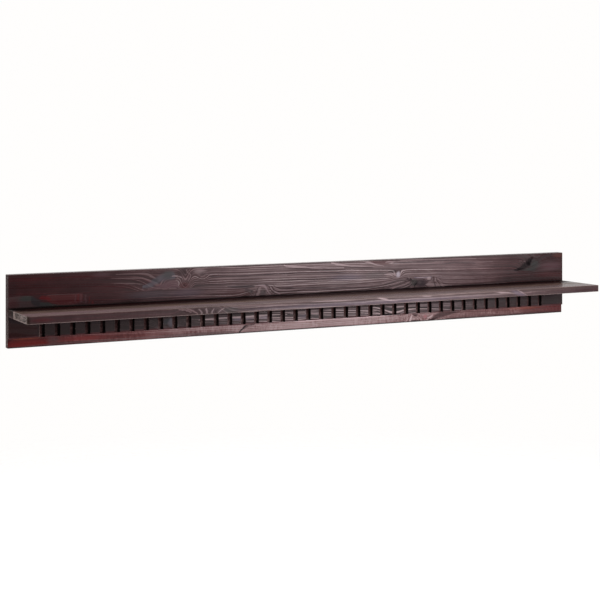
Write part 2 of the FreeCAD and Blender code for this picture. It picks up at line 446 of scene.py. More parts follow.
@dataclass
class Streak:
    """A mark drawn along points of (x, z, half its width), in millimetres."""

    points: list
    paint: tuple
    strength: float
    soft: float = 0.9
    matte: float = 0.0
    steep = False

    def distance(self, n, place):
        """How far a point is from the mark's middle line, where 1 is as far as it is wide."""
        x, y, z = n.axes(place)
        along, across = (z, x) if self.steep else (x, z)
        rows = [(b, a, c) if self.steep else (a, b, c) for a, b, c in self.points]
        rows = sorted([value * MM for value in row] for row in rows)
        line = n.curve(along, [(row[0], row[1]) for row in rows])
        width = n.curve(along, [(row[0], row[2]) for row in rows])
        away = n.calc("ABSOLUTE", n.calc("SUBTRACT", across, line))
        begun = n.calc("GREATER_THAN", along, rows[0][0])
        going_on = n.calc("LESS_THAN", along, rows[-1][0])
        past = n.calc("MULTIPLY_ADD", n.times(begun, going_on), -PAST_THE_ENDS, PAST_THE_ENDS)
        return n.calc("ADD", n.calc("DIVIDE", away, n.calc("MAXIMUM", width, LEAST_WIDTH)), past)


class Upright(Streak):
    """A steep streak, with one x for each z."""

    steep = True


@dataclass
class Dull(Streak):
    """A streak that is duller than the wood around it."""

    matte: float = 0.2


@dataclass
class Stave:
    """One board of pine. It holds the arrises of the glued-up board, its heart's y and z, and its lean.

    Rows of along give, at an x, how strong the grain is, how much lighter the stain is, and how red. On the
    front faces the lightening towards the middle of the shelf is partly painted light, following the
    softbox's sheen.
    Its heart and the width of its rings are in millimetres, as its knots and marks are.
    """

    node: str
    arris_box: tuple
    heart: tuple
    along: list
    lean: tuple = (0.0, 0.0)
    ring: float = 6.5
    knots: tuple = ()
    marks: tuple = ()
    end_marks: tuple = ()
    seed: float = 0.0


@dataclass
class Stain:
    """How a board took the stain: its colours, its gloss, its wear and mill marks, and its top's tone."""

    body: tuple = BODY
    thin: tuple = THIN
    deep: tuple = DEEP
    worn: tuple = BARE
    chip: tuple = BARE
    end: tuple = END_GRAIN
    gloss: float = 0.34
    wear: float = 0.5
    mill: float = 0.0
    top: float = 0.0


def ring_count(n, place, stave):
    """Counts growth rings out from the heart. A knot shifts the rings around it."""
    shifted = n.on_vectors("ADD", place, (stave.seed, stave.seed, stave.seed))
    bow = n.noise(n.scaled(shifted, BOW), 1.0)
    wobble = n.noise(n.scaled(shifted, WOBBLE), 1.0)
    heart = (0.0, stave.heart[0] * MM, stave.heart[1] * MM)
    turn = (0.0, math.radians(stave.lean[1]), math.radians(stave.lean[0]))
    from_heart = n.seen_from(place, heart, (1.0, 1.0, 1.0), turn)
    radius = n.length(n.scaled(from_heart, (0.0, 1.0, 1.0)))
    grown = n.total(radius, n.times(bow, BOW_DEPTH), n.times(wobble, WOBBLE_DEPTH))
    count = n.calc("DIVIDE", grown, stave.ring * MM)
    for knot in stave.knots:
        away = knot.distance(n, place)
        lift = n.calc("EXPONENT", n.times(away, away, -1.0))
        count = n.calc("MULTIPLY_ADD", lift, knot.rings, count)
    return n.calc("MULTIPLY_ADD", n.noise_along(count, RING_WIDTHS), 1.6, count)


def ring_ridge(n, count):
    """The pale hard ridge of each year's ring, with a dark groove behind it, stronger in some years."""
    ridge = n.curve(n.calc("FRACT", count), RIDGE)
    strength = n.step(n.noise_along(count, RING_CLARITY), 0.3, 0.62, 0.3, 1.0)
    return n.total(n.times(n.total(ridge, -RIDGE_MEAN), strength), RIDGE_MEAN)


def fibres(n, place, count, stave, fine_across, fine_along):
    """Fibres that follow the rings round the knots."""
    axes = n.axes(place)
    across = n.times(count, stave.ring * MM * fine_across)
    stretched = n.vector(n.times(axes[0], fine_along), n.times(axes[1], fine_across), across)
    return n.noise(stretched, 3.0, 0.6)


class Grain:
    """What a board's nodes share: the point, its ring, ridge, fibres, brushing and blotches."""

    def __init__(self, n, stave):
        self.place = n.place()
        self.count = ring_count(n, self.place, stave)
        self.ridge = ring_ridge(n, self.count)
        self.fibre = fibres(n, self.place, self.count, stave, *FIBRES)
        self.brush = fibres(n, self.place, self.count, stave, *BRUSHING)
        self.shifted = n.on_vectors("ADD", self.place, (stave.seed, 0.0, -stave.seed))
        self.blotch = n.noise(n.scaled(self.shifted, BLOTCHES), 3.0, 0.6)


def facing(n, axis):
    """1 on faces that look along an axis, either way."""
    normal = n.add("NewGeometry").outputs["Normal"]
    return n.step(n.calc("ABSOLUTE", n.axes(normal)[axis]), 0.6, 0.85)


def mill_marks(n, wood, strength):
    """Marks that the planer left, in patches."""
    marks = n.noise(n.scaled(wood.place, MILL_MARKS), 4.0, 0.75)
    patches = n.step(n.noise(n.scaled(wood.shifted, MILL_PATCHES), 1.0), 0.4, 0.6, 0.3, 1.6)
    return n.times(n.swing(marks, 0.5, strength), patches)


def stained(n, wood, stave, stain):
    """The stain's colour before any mark, deep in the soft wood and thin on the ridges."""
    x = n.axes(wood.place)[0]
    curves = [n.curve(x, [(row[0] * MM, row[k]) for row in stave.along]) for k in (1, 2, 3)]
    # lighter is partly painted light: the front faces are lightest in the middle, where the softbox's sheen
    # falls
    strength, lighter, redness = curves
    bands = n.noise_along(wood.count, RING_BANDS, 1.0)
    lines = n.total(
        n.swing(wood.ridge, RIDGE_MEAN, 0.62),
        n.swing(wood.fibre, 0.5, 0.75),
        n.swing(bands, 0.5, 0.5),
    )
    tone = n.total(
        n.times(lines, strength),
        n.swing(wood.brush, 0.5, 0.25),
        n.swing(wood.blotch, 0.5, 0.5),
        lighter,
        BODY_TONE,
    )
    if stain.mill:
        tone = n.total(tone, mill_marks(n, wood, stain.mill))
    if stain.top:
        tone = n.total(tone, n.times(facing(n, 2), stain.top))
    colour = n.ramp(tone, [(0.0, stain.deep), (BODY_TONE, stain.body), (0.8, stain.thin), (1.0, RAISED)])
    return n.blend(redness, colour, REDDER, "MULTIPLY")


def marked(n, wood, colour, marks, where):
    """Lays marks over a colour where they may be, ragged along the grain, and gives how dull they are."""
    stray = n.vector(n.swing(wood.blotch, 0.5, STRAY_ALONG), 0.0, n.swing(wood.fibre, 0.5, STRAY_ACROSS))
    ragged = n.on_vectors("ADD", wood.place, stray)
    dull = 0.0
    for mark in marks:
        away = mark.distance(n, ragged)
        cover = n.step(away, 1.0 + mark.soft / 2, 1.0 - mark.soft / 2, 0.0, mark.strength)
        cover = n.times(cover, where)
        colour = n.blend(cover, colour, mark.paint)
        if mark.matte:
            dull = n.calc("MULTIPLY_ADD", cover, mark.matte, dull)
    return colour, dull


def edge_wear(n, place, box):
    """How near a point is to an arris of the glued-up board, up to 1 on the arris."""
    low, high = box
    centred = n.on_vectors("SUBTRACT", place, (low + high) / 2)
    outward = n.on_vectors("ABSOLUTE", centred)
    a, b, c = n.axes(n.on_vectors("SUBTRACT", outward, (high - low) / 2))
    nearer = n.calc("MAXIMUM", a, b)
    second = n.calc("MAXIMUM", n.calc("MINIMUM", a, b), n.calc("MINIMUM", nearer, c))
    return n.step(second, -WEAR_WIDTH, -0.2 * WEAR_WIDTH)


def end_paint(n, wood, stain):
    """The cut ends' colour, with dark pores and the rings showing through, and the pores."""
    pores = n.noise(n.scaled(wood.place, PORES), 3.0, 0.7)
    tone = n.total(n.swing(wood.ridge, 0.4, 0.3), n.swing(pores, 0.5, 3.4), 0.5)
    paint = n.ramp(tone, [(0.05, stain.deep), (0.3, stain.body), (0.6, stain.end), (1.0, stain.chip)])
    return paint, pores


def pine(stave, stain, extra=None):
    """Stained and brushed pine: its grain, its marks, its worn arrises and its cut ends."""
    n = Nodes(stave.node + "_pine")
    wood = Grain(n, stave)
    near_front = n.step(n.axes(wood.place)[1], *MARKS_FADE)
    colour, dull = marked(n, wood, stained(n, wood, stave, stain), stave.marks, near_front)
    worn = n.times(edge_wear(n, wood.place, stave.arris_box), n.step(wood.fibre, 0.3, 0.62, 0.15, stain.wear))
    colour = n.blend(worn, colour, stain.worn)
    cut = facing(n, 0)
    cut_paint, pores = end_paint(n, wood, stain)
    colour = n.blend(n.times(cut, n.total(1.0, n.times(worn, -0.8))), colour, cut_paint)
    colour = marked(n, wood, colour, stave.end_marks, cut)[0]
    roughness = n.total(
        stain.gloss,
        n.swing(wood.ridge, RIDGE_MEAN, -0.3),
        n.swing(wood.fibre, 0.5, -0.2),
        n.swing(wood.brush, 0.5, -0.1),
        n.times(cut, 0.3),
        dull,
    )
    height = n.total(
        n.times(wood.ridge, 0.6),
        n.times(wood.fibre, 0.5),
        n.times(wood.brush, 0.2),
        n.times(pores, cut, 1.5),
    )
    if extra:
        colour, roughness = extra(n, wood.place, colour, roughness)
    roughness = n.calc("MAXIMUM", roughness, LEAST_ROUGHNESS)
    return n.finish(colour, roughness, height, PINE_RELIEF, **{"Specular IOR Level": SHEEN_LEVEL})


def slot_chips(n, place, turn, inside):
    """Pale chips along each slot's left arris, and more of them before the first slot."""
    x, y, z = n.axes(place)
    left_arris = n.step(turn, 0.97, 0.985)
    chipped = n.step(n.noise(n.scaled(place, SLOT_CHIPS), 2.0), 0.5, 0.7, 0.0, 0.2)
    first = n.calc("LESS_THAN", x, FIRST_SLOT)
    on_front = n.calc("LESS_THAN", y, PANEL_FRONT + 1.0 * MM)
    chips = n.total(n.times(first, 0.5), chipped)
    return n.times(left_arris, inside, n.times(on_front, chips))


def slot_floor(n, place, turn):
    """A slot's red-brown floor, painted into shade towards its right side and high up under the shelf."""
    x, y, z = n.axes(place)
    rough = n.noise(n.scaled(place, SLOT_FLOORS), 2.0)
    # Painted shade: the floor is darker high up under the shelf and lighter low down
    low_down = n.step(z, -98 * MM, -130 * MM, -0.08, 0.16)
    # Painted shade: the floor falls into painted shadow before its right side, and is painted lighter along X
    lit = n.curve(x, [(at, share * SLOT_SHARE) for at, share in SLOT_LIT])
    into_shadow = n.calc("SUBTRACT", turn, lit)
    shade = n.step(into_shadow, -0.12 * SLOT_SHARE, 0.08 * SLOT_SHARE, 0.1, -0.6)
    return n.ramp(n.total(rough, low_down, shade, n.curve(x, SLOT_LIGHTER)), SLOT_COLOURS)


def slotted(n, place, colour, roughness):
    """The dentil rail's milled slots: chipped arrises, sides painted black as shade, and floors with painted
    shade.
    """
    x, y, z = n.axes(place)
    turn = n.calc("FRACT", n.calc("DIVIDE", n.total(x, -FIRST_SLOT), SLOT_PITCH))
    inside = n.calc("LESS_THAN", n.calc("ABSOLUTE", x), -FIRST_SLOT + 2 * MM)
    side = n.times(facing(n, 0), inside)
    from_floor = n.calc("ABSOLUTE", n.total(y, -(PANEL_FRONT + SLOT_DEPTH)))
    on_floor = n.calc("LESS_THAN", from_floor, 0.5 * MM)
    colour = n.blend(slot_chips(n, place, turn, inside), colour, BARE)
    # Painted shade: the slots' sides are painted nearly black
    colour = n.blend(n.times(side, 0.92), colour, SLOT_SHADE_BLACK)
    colour = n.blend(on_floor, colour, slot_floor(n, place, turn))
    return colour, n.total(roughness, n.times(on_floor, 0.35), n.times(side, 0.35))


def zinc(name):
    """Thin bright zinc on steel, clouded and faintly scratched."""
    n = Nodes(name)
    place = n.place()
    cloud = n.noise(n.scaled(place, (90.0, 90.0, 90.0)), 3.0, 0.6)
    scratches = n.noise(n.scaled(place, (900.0, 2500.0, 900.0)), 2.0)
    tone = n.total(n.times(cloud, 0.8), n.times(scratches, 0.3), -0.05)
    stops = [(0.0, rgb(120, 122, 126)), (0.5, rgb(168, 171, 175)), (1.0, rgb(205, 206, 205))]
    roughness = n.step(cloud, 0.2, 0.8, 0.28, 0.46)
    return n.finish(n.ramp(tone, stops), roughness, scratches, ZINC_RELIEF, Metallic=1.0)


def beech(name):
    """Bare beech with short dark rays along the dowel."""
    n = Nodes(name)
    place = n.place()
    grain = n.noise(n.scaled(place, (500.0, 40.0, 500.0)), 3.0, 0.6)
    rays = n.noise(n.scaled(place, (1800.0, 260.0, 1800.0)), 1.0)
    tone = n.total(n.times(grain, 0.8), n.step(rays, 0.6, 0.7, 0.1, -0.25))
    stops = [(0.2, rgb(150, 104, 70)), (0.5, rgb(196, 154, 112)), (0.8, rgb(218, 184, 146))]
    roughness = n.step(grain, 0.3, 0.7, 0.5, 0.66)
    return n.finish(n.ramp(tone, stops), roughness, grain, BEECH_RELIEF)


def dress(node, material):
    """Gives a carried-over node its material."""
    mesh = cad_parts[node].data
    mesh.materials.clear()
    mesh.materials.append(material)


# The arrises of the panel and of the shelf board, each glued up from staves
PANEL_BOX = (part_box("base_strip")[0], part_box("back_upper_stave")[1])
PANEL_BOX[0].y = PANEL_FRONT
SHELF_BOX = (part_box("shelf_front_stave")[0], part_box("shelf_rear_stave")[1])

# The panel, from its top down
upper_marks = [
    Streak([(-500, 32.5, 0.8), (-200, 32, 1.6), (900, 32, 1.8)], UMBER, 0.55),
    Tint(-880, -4, 12, 24, UMBER, 0.7, soft=1.4),
    Tint(-820, 20, 60, 4, MAROON, 0.45, soft=1.4),
    Tint(-700, 22, 46, 5, MAROON, 0.4, soft=1.4),
    Tint(-610, -12, 50, 8, MAROON, 0.35, soft=1.4),
    Tint(-640, 24, 22, 6, ROSE, 0.4, soft=1.2),
    Streak([(-600, 23, 0.6), (-540, 22.5, 1.6), (-517, 20.5, 2.2), (-498, 14, 2.6), (-484, 7, 1)], FAIR, 0.6),
    Streak([(-610, 18, 0.5), (-540, 17, 2), (-515, 13.5, 2), (-500, 9.5, 2), (-490, 5, 0.5)], UMBER, 0.5),
    Streak([(-612, 13.5, 0.4), (-560, 12, 1.2), (-530, 10, 1.4), (-510, 6, 1.4), (-500, 2, 0.5)], FAIR, 0.55),
    Streak([(-612, 5, 0.4), (-560, 4, 1.6), (-518, 0, 1)], UMBER, 0.4),
    Streak([(-612, 1, 0.4), (-575, -1.5, 1.2), (-540, -5.5, 1.2), (-522, -8, 0.4)], FAIR, 0.5),
    Streak([(-524, -14, 3), (-505, -10, 7), (-488, -1, 9), (-468, 8, 10), (-446, 13, 11), (-428, 11, 2)],
        BLUE_GREY, 0.75, soft=1.3),
    Tint(-451, 17, 16, 11, GREEN_GREY, 0.6, soft=1.4),
    Tint(-487, 3, 9, 5, SLATE, 0.5, soft=1.2),
    Streak([(-508, -19.5, 0.6), (-482, -16, 4), (-455, -12, 9), (-436, -11, 11), (-420, -13, 7),
        (-415, -17, 1)], ROSE, 0.75, soft=1.0),
    Streak([(-508, -21.5, 0.5), (-480, -21, 1.2), (-425, -21.5, 1)], FAIR, 0.4),
    Streak([(-440, 12, 1), (-430, 12.8, 1.6), (-418, 10, 1.6), (-409, 5, 1.4), (-406, -2, 0.5)], PALE, 0.5),
    Dull([(-430, 8.5, 0.6), (-418, 6.5, 1.2), (-410, 1, 1), (-408, -3, 0.5)], UMBER, 0.6),
    Streak([(-429, 5.5, 0.5), (-420, 4.5, 1.2), (-413, 1, 1.2), (-410.5, -4, 0.5)], FAIR, 0.7),
    Dull([(-428, 2.5, 0.5), (-418, 0.5, 1), (-413, -4, 1.1), (-411, -10, 0.5)], UMBER, 0.65),
    Upright([(-418, -14, 0.8), (-415.5, -7, 1.4), (-420, -1.5, 1.4), (-428, 1, 0.6)], PALE, 0.6),
    Tint(-402, -15, 13, 8, MAROON, 0.6, matte=0.15),
    Tint(-400, -14, 3, 3, UMBER, 0.7, matte=0.2),
    Tint(-411, 20, 16, 9, UMBER, 0.6, matte=0.15),
    Upright([(-399, 28, 2), (-395, 20.5, 2.2), (-388, 15, 2), (-384, 8, 1.6), (-388, 1, 1.4),
        (-394, -5, 0.5)], FAIR, 0.6),
    Upright([(-391, 24, 0.6), (-383, 16, 1.2), (-380.5, 7, 1.4), (-384, 0, 1.4), (-399, -6, 0.6)],
        UMBER, 0.65, matte=0.2),
    Tint(-357, 23, 16, 6, PALE, 0.45, soft=1.4),
    Streak([(-360, 4, 1), (-352, 12, 3), (-342, 14, 2.4), (-330, 11, 1.4), (-316, 8, 0.5)], UMBER, 0.5),
    Streak([(-340, 12.5, 0.8), (-300, 11.5, 1.6), (-220, 9.5, 1.6), (-140, 10, 2), (-60, 9.5, 1.6),
        (0, 8, 1.2), (60, 6, 0.8), (190, 1, 0.4)], FAIR, 0.75),
    Dull([(-330, 6, 0.8), (-260, 5, 1.4), (-180, 4.5, 1.2), (-100, 6, 1.6), (-20, 3.8, 1.4), (60, 1.5, 1),
        (150, -1.5, 0.5)], DUSK, 0.75),
    Streak([(-310, -1, 0.5), (-240, -1.5, 1), (-180, 0.5, 1), (-90, 0, 0.8)], FAIR, 0.5),
    Streak([(-99, 29.5, 0.8), (-90, 27, 2), (-65, 24, 2.4), (-35, 22, 2), (-5, 18.5, 1.3), (45, 15.5, 1),
        (95, 14, 0.5)], PALE, 0.9, soft=0.6),
    Dull([(-100, 18, 0.8), (-60, 17, 1.4), (-20, 14, 1.4), (40, 9.5, 1.2), (100, 8, 0.5)], DUSK, 0.6),
    Streak([(55, 29.5, 0.6), (68, 27, 2), (92, 23.5, 2.2), (120, 19.5, 1.6), (150, 17.5, 1.2),
        (200, 14.5, 0.6)], PALE, 0.85, soft=0.6),
    Dull([(60, 17.5, 0.6), (100, 16, 1.4), (150, 13, 1.2), (200, 9.5, 0.8), (230, 5, 0.6)], DUSK, 0.55),
    Streak([(168, 28.5, 0.5), (186, 26, 2), (202, 21, 1.8), (232, 15, 0.6)], PALE, 0.7, soft=0.7),
    Dull([(182, 31, 0.6), (206, 26, 4.5), (232, 24, 5), (262, 28, 1)], MAROON, 0.5),
    Tint(110, -14, 48, 9, VIOLET, 0.5, soft=1.4),
    Tint(205, -12, 34, 12, GREY, 0.5, soft=1.2),
    Streak([(232, -10, 0.6), (250, -10.5, 3), (272, -11, 4)], PALE, 0.45),
    Tint(258, -2, 14, 3.5, DUSK, 0.6, matte=0.2),
    Tint(281, -12, 7, 8, rgb(164, 156, 166), 0.75, soft=1.0),
    Streak([(235, 25.5, 0.6), (250, 26.5, 1.6), (266, 24.5, 0.6)], PALE, 0.6),
    Streak([(262, 21, 0.6), (290, 22.5, 1.4), (350, 23, 1.4), (430, 23, 1), (520, 21.5, 0.6)], DUSK, 0.55),
    Streak([(284, 28, 0.6), (316, 28.5, 1.8), (380, 28, 1.2), (460, 28, 1), (560, 26, 0.8)], FAIR, 0.7),
    Streak([(258, 18, 0.6), (300, 17.5, 1.2), (360, 17, 1), (440, 19.5, 1.4), (520, 18, 1.2), (620, 14, 0.6)],
        FAIR, 0.5),
    Streak([(268, 15, 0.5), (320, 14, 1.2), (420, 13, 1.2), (480, 15, 1), (560, 12, 0.6)], DUSK, 0.55),
    Tint(760, 26, 42, 6, GREY, 0.45, soft=1.2),
    Tint(738, 6, 26, 12, UMBER, 0.55, turn=-30, soft=1.4, matte=0.1),
    Tint(780, -1, 20, 15, MOSS, 0.75, turn=-20, soft=1.6, matte=0.1),
    Tint(758, -15.5, 22, 5, MOSS, 0.7, soft=1.6, matte=0.1),
    Streak([(700, -16, 1), (716, -15, 4), (732, -9, 8), (746, -2, 11), (757, 6, 11), (766, 15, 8),
        (776, 21, 2)], rgb(20, 13, 16), 0.9, soft=1.1, matte=0.3),
    Streak([(706, -16, 0.6), (722, -14.5, 2.4), (738, -12, 1.4)], INK, 0.8, matte=0.3),
    Tint(758, 3.5, 7, 6, INK, 0.85, matte=0.3),
    Tint(762, 13, 5, 5, INK, 0.5, soft=1.2, matte=0.3),
    Dull([(756, 20, 1), (772, 21.5, 2.8), (786, 16.5, 3), (797, 7, 2), (804, -2, 0.8)], UMBER, 0.75),
    Tint(728, 12, 5, 1.4, FAIR, 0.35),
    Tint(741, 10.5, 4, 1.4, FAIR, 0.3),
    Streak([(716, 18, 0.6), (732, 16.5, 1.2), (746, 17.5, 0.6)], UMBER, 0.6),
    Tint(842, -8, 40, 12, ROSE, 0.4, soft=1.4),
    Tint(872, 26, 22, 7, RUST, 0.15, soft=1.4),
]
upper_stave = Stave(
    "back_upper_stave", PANEL_BOX, heart=(35, -95), lean=(0.2, 0.9), ring=5.4, seed=3.1,
    along=[
        (-890, 0.35, -0.1, 0.8),
        (-660, 0.5, -0.12, 0.5),
        (-540, 0.8, -0.03, 0.2),
        (-320, 1.3, 0.05, 0.1),
        (-80, 1.45, 0.15, 0),
        (120, 1.45, 0.11, 0),
        (330, 1.3, 0.11, 0),
        (560, 0.75, 0.02, 0.1),
        (640, 0.75, -0.05, 0.25),
        (730, 0.7, -0.24, 0.35),
        (890, 0.5, -0.28, 0.4),
    ],
    knots=[
        Knot(-478, -18, 22, 26, 4.0, left=70),
        Knot(-400, -12, 16, 46, 5.0),
        Knot(-350, 6, 16, 12, 2.0),
        Knot(278, -13, 16, 11, 3.0),
        Knot(762, 0, 44, 20, 5.0, turn=-25),
    ],
    marks=upper_marks,
)
lower_marks = [
    Streak([(-892, -40, 14), (-850, -39, 17), (-828, -42, 16), (-812, -47, 12), (-796, -52, 10),
        (-770, -58, 9)], GREY, 0.6, soft=0.25),
    Tint(-880, -44, 16, 14, MAROON, 0.4, soft=1.2),
    Tint(-842, -30, 16, 7, GREEN_GREY, 0.8),
    Streak([(-832, -32, 6), (-818, -40, 11), (-806, -46, 9), (-790, -50, 7), (-772, -53, 4)],
        SLATE, 0.7, soft=1.0),
    Streak([(-806, -46, 3), (-786, -47, 5), (-765, -51, 3), (-720, -54, 2), (-640, -55, 2)], GREEN_GREY, 0.6),
    Streak([(-788, -30, 8), (-768, -35, 12), (-740, -38, 13), (-718, -37, 13), (-700, -34, 11),
        (-690, -32, 7)], rgb(74, 32, 34), 0.85, soft=0.5),
    Streak([(-762, -40, 3), (-740, -42, 4), (-716, -40, 3), (-700, -45, 3)], MAROON, 0.7),
    Streak([(-808, -29, 2), (-798, -30, 5), (-786, -32, 5), (-776, -35, 1)], BLOOD, 0.6, soft=1.3),
    Streak([(-786, -23, 1), (-740, -23, 1.2), (-690, -22, 1)], FAIR, 0.5),
    Upright([(-712, -44, 2), (-712, -28, 1.6)], ROSE, 0.35),
    Upright([(-704, -40, 1.6), (-704, -25, 1.6)], BLOOD, 0.4),
    Upright([(-696, -47, 3), (-695, -26, 2.4)], ROSE, 0.35),
    Upright([(-684, -50, 2.6), (-682, -28, 2)], ROSE, 0.35),
    Upright([(-674, -50, 1.6), (-672, -32, 1.4)], BLOOD, 0.3),
    Upright([(-664, -52, 3), (-664, -44, 2)], BLOOD, 0.35),
    Tint(-500, -36, 60, 10, BLUE_GREY, 0.35, soft=1.4),
    Tint(-395, -36, 40, 10, VIOLET, 0.3, soft=1.4),
    Tint(-245, -42, 50, 10, MAROON, 0.35, soft=1.4),
    Dull([(-276, -23, 1), (-254, -24, 4), (-232, -25, 4.6), (-208, -25, 4), (-190, -27, 2)],
        DUSK, 0.8, soft=1.2),
    Tint(-214, -36, 9, 6, DUSK, 0.55, soft=1.2, matte=0.15),
    Tint(-203, -41, 8, 6, GREY, 0.7, soft=1.0),
    Tint(-201, -40, 4, 3, DUSK, 0.6, soft=1.2),
    Upright([(-190, -54, 1), (-186, -42, 2.4), (-180, -32, 2), (-174, -26, 0.6)], UMBER, 0.5),
    Upright([(-182, -54, 3), (-179, -40, 4), (-172, -29, 3)], FAIR, 0.75, soft=1.3),
    Streak([(-181, -24, 0.8), (-172, -24, 3), (-163, -26, 3.4), (-155, -33, 3.4), (-148, -43, 3),
        (-143, -54, 2)], MAUVE, 0.75, soft=1.3),
    Tint(-164, -45, 9, 9, GREY, 0.7),
    Tint(-160, -42, 3.5, 3, DUSK, 0.5, soft=1.2),
    Dull([(-160, -22, 1), (-150, -26, 2.2), (-141, -35, 2.4), (-134, -45, 2), (-129, -54, 1)], UMBER, 0.7),
    Streak([(-146, -28, 0.8), (-134, -38, 2), (-122, -47, 2.4), (-108, -54, 1)], MAUVE, 0.65, soft=1.2),
    Dull([(-141, -27, 0.8), (-135, -34, 1.6), (-126, -40.5, 1.8), (-113, -45.5, 1.8), (-92, -46.5, 1.4),
        (-60, -45, 1.2), (-30, -42, 0.6)], UMBER, 0.85),
    Streak([(-137, -27.5, 0.6), (-124, -35, 1.2), (-108, -40.5, 1.3), (-86, -42, 1.2), (-50, -41, 0.6)],
        FAIR, 0.6),
    Dull([(-134, -25, 0.6), (-124, -31.5, 1.4), (-108, -36.5, 1.6), (-84, -38, 1.4), (-50, -37, 0.6)],
        UMBER, 0.8),
    Upright([(-137, -38, 0.8), (-131, -46, 1.8), (-121, -54, 1.4)], UMBER, 0.7, matte=0.2),
    Dull([(-108, -34, 0.6), (-60, -37.5, 1.4), (0, -39.5, 1.6), (60, -41.5, 1.5), (120, -43, 1.2),
        (180, -46, 1.2), (230, -49, 0.6)], DUSK, 0.7),
    Streak([(-60, -49, 0.8), (0, -51, 1.4), (50, -53, 0.6)], PALE, 0.55),
    Tint(80, -30, 70, 6, GREY, 0.35, soft=1.4),
    Dull([(262, -21, 0.8), (283, -21.5, 2.4), (305, -23.5, 3), (318, -29, 3), (328, -33, 1)],
        rgb(44, 28, 33), 0.9, soft=1.1),
    Streak([(224, -36, 0.6), (256, -31, 1.2), (286, -27, 1.2), (310, -24.5, 0.6)], FAIR, 0.6),
    Streak([(228, -41, 0.6), (262, -33.5, 1.8), (292, -29.5, 1.8), (318, -31.5, 1)], UMBER, 0.85),
    Streak([(232, -45, 0.6), (264, -40, 1.3), (294, -34.5, 1.3), (318, -29.5, 0.6)], FAIR, 0.7),
    Streak([(238, -49, 0.6), (268, -43, 1.6), (298, -36.5, 1.6), (323, -32, 0.8)], UMBER, 0.85),
    Streak([(244, -53, 0.6), (272, -48.5, 1.4), (302, -42, 1.4), (324, -34.5, 0.6)], FAIR, 0.7),
    Streak([(256, -54.5, 0.6), (280, -51.5, 1.3), (306, -45.5, 1.3), (326, -37, 0.6)], DUSK, 0.8),
    Streak([(270, -56, 0.6), (290, -53.5, 1.4), (312, -48, 1.4), (329, -40, 0.6)], FAIR, 0.65),
    Streak([(290, -57, 0.6), (306, -54, 1.4), (322, -48, 1.4), (333, -42, 0.6)], DUSK, 0.8),
    Tint(338, -38, 12, 11, rgb(34, 38, 36), 0.8, soft=1.3, matte=0.25),
    Streak([(320, -25, 1), (326, -28, 2.4), (331, -31, 1.6)], INK, 0.85, matte=0.3),
    Upright([(329, -50, 1), (333, -42, 1.6), (339, -34, 1.6), (344, -27, 0.8)], GREY, 0.6),
    Upright([(336, -52, 1), (341, -46, 2), (345, -41, 2.6), (350, -36, 1)], INK, 0.85, matte=0.3),
    Tint(362, -41, 17, 12, rgb(40, 31, 37), 0.85, soft=1.1, matte=0.25),
    Tint(356, -39, 6, 4, GREY, 0.6, soft=1.4),
    Streak([(336, -23, 1), (352, -23, 2.6), (376, -23.5, 2.6), (396, -25, 1)], VIOLET, 0.8, soft=1.2),
    Streak([(342, -22.5, 0.8), (365, -23, 1.6), (380, -23.5, 1)], PALE, 0.6),
    Tint(386, -26.5, 6, 4.5, PALE, 0.65, soft=1.3),
    Streak([(376, -46, 0.8), (392, -47, 4), (404, -48, 4), (430, -50, 3), (470, -53, 1.2)],
        PALE, 0.45, soft=1.4),
    Dull([(364, -27, 0.6), (372, -31, 1.4), (382, -35.5, 1.8), (392, -32, 1.6), (397, -25, 0.8)],
        rgb(52, 36, 42), 0.9),
    Upright([(400, -55, 6), (395, -47, 6), (386, -38, 2)], FAIR, 0.4, soft=1.4),
    Upright([(404, -37, 1.8), (403.5, -30, 2), (404, -23, 1)], UMBER, 0.85, matte=0.2),
    Upright([(420, -50, 1.6), (412, -38, 2), (407.5, -26, 1)], FAIR, 0.7),
    Upright([(412, -54, 2), (407, -46, 1.8), (404, -38, 0.8)], UMBER, 0.7, matte=0.2),
    Upright([(430, -53, 1.4), (419, -42, 1.8), (412, -28, 0.8)], UMBER, 0.65, matte=0.2),
    Upright([(440, -51, 1.2), (427, -40, 1.6), (417, -27, 0.6)], FAIR, 0.55),
    Upright([(452, -49, 1), (434, -38, 1.2), (421, -26, 0.6)], UMBER, 0.5),
    Tint(835, -34, 50, 8, MAROON, 0.35, soft=1.4),
    Tint(800, -48, 60, 7, UMBER, 0.5, soft=1.2),
    # Painted shade: a near-black line along the panel just above the shelf, where the two meet
    Streak([(-900, -57, 5), (-700, -57, 4.8), (-300, -57, 4.6), (300, -57, 3.8), (900, -57, 3.6)],
        DARK_SEAM_AND_SHADE, 0.97, soft=0.8, matte=0.4),
]
lower_stave = Stave(
    "back_lower_stave", PANEL_BOX, heart=(40, -140), lean=(-0.2, 0.6), ring=5.2, seed=7.7,
    along=[
        (-890, 0.25, -0.07, 0.7),
        (-620, 0.4, -0.1, 0.5),
        (-480, 0.7, -0.05, 0.25),
        (-300, 1.1, 0.04, 0.1),
        (-80, 1.3, 0.15, 0),
        (120, 1.3, 0.13, 0),
        (260, 1.2, 0.05, 0),
        (430, 1.1, 0.08, 0),
        (600, 0.75, -0.07, 0.2),
        (730, 0.6, -0.28, 0.4),
        (890, 0.4, -0.34, 0.6),
    ],
    knots=[
        Knot(-165, -62, 26, 26, -6.0, left=46),
        Knot(352, -56, 38, 30, -7.0, left=80),
        Knot(412, -58, 16, 28, -4.0),
    ],
    marks=lower_marks,
)
